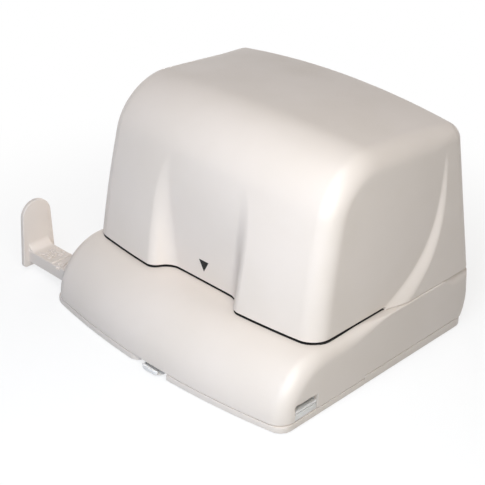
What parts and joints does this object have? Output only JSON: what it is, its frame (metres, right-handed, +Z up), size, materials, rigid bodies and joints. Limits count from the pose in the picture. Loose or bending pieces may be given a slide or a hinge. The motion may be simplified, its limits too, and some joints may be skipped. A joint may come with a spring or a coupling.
{
  "type": "hole punch",
  "caption": "Electric two-hole desk punch with a fixed hood, a thin paper slot, a sliding paper guide, a hinged chip tray and a geared motor drive.",
  "frame": {"origin": "on the desk, under the anti-slip strip, on the mid plane and straight below the edge of the paper stop", "axes": "+X to the user's right along the width, +Y away from the user, +Z up from the desk"},
  "size_m": [0.186, 0.1434, 0.113],
  "materials": {
    "shell": "satin",
    "shell_dark": "matte",
    "clear_plastic": "satin",
    "rubber": "matte",
    "steel": "satin",
    "hard_steel": "polished",
    "gear_plastic": "satin",
    "brass": "satin",
    "zinc": "satin",
    "board_green": "satin",
    "black_plastic": "satin",
    "cell_jacket": "gloss"
  },
  "bodies": {
    "body": {"hood": "shell", "base_housing": "shell", "throat_cover": "shell_dark", "throat_plate": "shell_dark", "front_plinth": "shell", "bottom_cover": "shell", "anti_slip_feet": "rubber", "anti_slip_strip": "rubber", "battery_box": "shell_dark", "battery_cells": "cell_jacket", "battery_contacts": "zinc", "guide_rail": "clear_plastic", "die_plate": "steel", "paper_stop": "black_plastic", "guide_frame": "steel", "shaft_bushes": "brass", "idler_shaft": "hard_steel", "motor_can": "zinc", "motor_cap": "black_plastic", "gearbox_plate": "steel", "gearbox_pillars": "steel", "gearbox_screws": "zinc", "frame_screws": "zinc", "housing_screws": "zinc", "control_board": "board_green", "board_parts": "black_plastic", "board_posts": "black_plastic", "supply_jack": "black_plastic", "paper_switch": "black_plastic"},
    "guide": {"paper_guide": "shell"},
    "tray": {"chip_tray": "clear_plastic"},
    "door": {"battery_door": "shell"},
    "bar": {"cam_bar": "steel"},
    "punch_left": {"punch_pin_left": "hard_steel", "cross_pin_left": "hard_steel"},
    "punch_right": {"punch_pin_right": "hard_steel", "cross_pin_right": "hard_steel"},
    "output": {"rack_pinion": "hard_steel", "output_gear": "gear_plastic", "output_shaft": "hard_steel"},
    "idler": {"idler_gear": "gear_plastic"},
    "rotor": {"motor_pinion": "brass", "motor_shaft": "hard_steel"},
    "lever": {"switch_lever": "black_plastic"}
  },
  "joints": [
    {"name": "guide_slide", "type": "slide", "parent": "body", "child": "guide", "axis": [1, 0, 0], "range_m": [-0.0315, 0.0278]},
    {"name": "tray_hinge", "type": "hinge", "parent": "body", "child": "tray", "pos_m": [0, -0.005, 0.0024], "axis": [1, 0, 0], "range_deg": [0, 45]},
    {"name": "battery_door_slide", "type": "slide", "parent": "body", "child": "door", "axis": [0, 0, -1], "range_m": [0, 0.025]},
    {"name": "bar_slide", "type": "slide", "parent": "body", "child": "bar", "axis": [1, 0, 0], "range_m": [0, 0.012]},
    {"name": "punch_left_slide", "type": "slide", "parent": "body", "child": "punch_left", "axis": [0, 0, -1], "range_m": [0, 0.00601]},
    {"name": "punch_right_slide", "type": "slide", "parent": "body", "child": "punch_right", "axis": [0, 0, -1], "range_m": [0, 0.00601]},
    {"name": "output_turn", "type": "hinge", "parent": "body", "child": "output", "pos_m": [0, 0, 0.063], "axis": [0, -1, 0], "range_deg": [0, 98.52]},
    {"name": "idler_turn", "type": "hinge", "parent": "body", "child": "idler", "pos_m": [0.0205, 0.016, 0.05396], "axis": [0, 1, 0], "range_deg": [0, 360.64]},
    {"name": "rotor_turn", "type": "hinge", "parent": "body", "child": "rotor", "pos_m": [0.03449, 0.02, 0.04707], "axis": [0, -1, 0], "range_deg": [0, 1201.48]},
    {"name": "lever_swing", "type": "hinge", "parent": "body", "child": "lever", "pos_m": [0, -0.0006, 0.04], "axis": [1, 0, 0], "range_deg": [0, 16], "stiffness_Nm_per_rad": 0.002}
  ],
  "couplings": [
    {"joint": "punch_left_slide", "follows": "bar_slide", "ratio": 0.5},
    {"joint": "punch_right_slide", "follows": "bar_slide", "ratio": 0.5},
    {"joint": "output_turn", "follows": "bar_slide", "rad_per_m": 142.86},
    {"joint": "idler_turn", "follows": "bar_slide", "rad_per_m": 523.81},
    {"joint": "rotor_turn", "follows": "bar_slide", "rad_per_m": 1746}
  ]
}
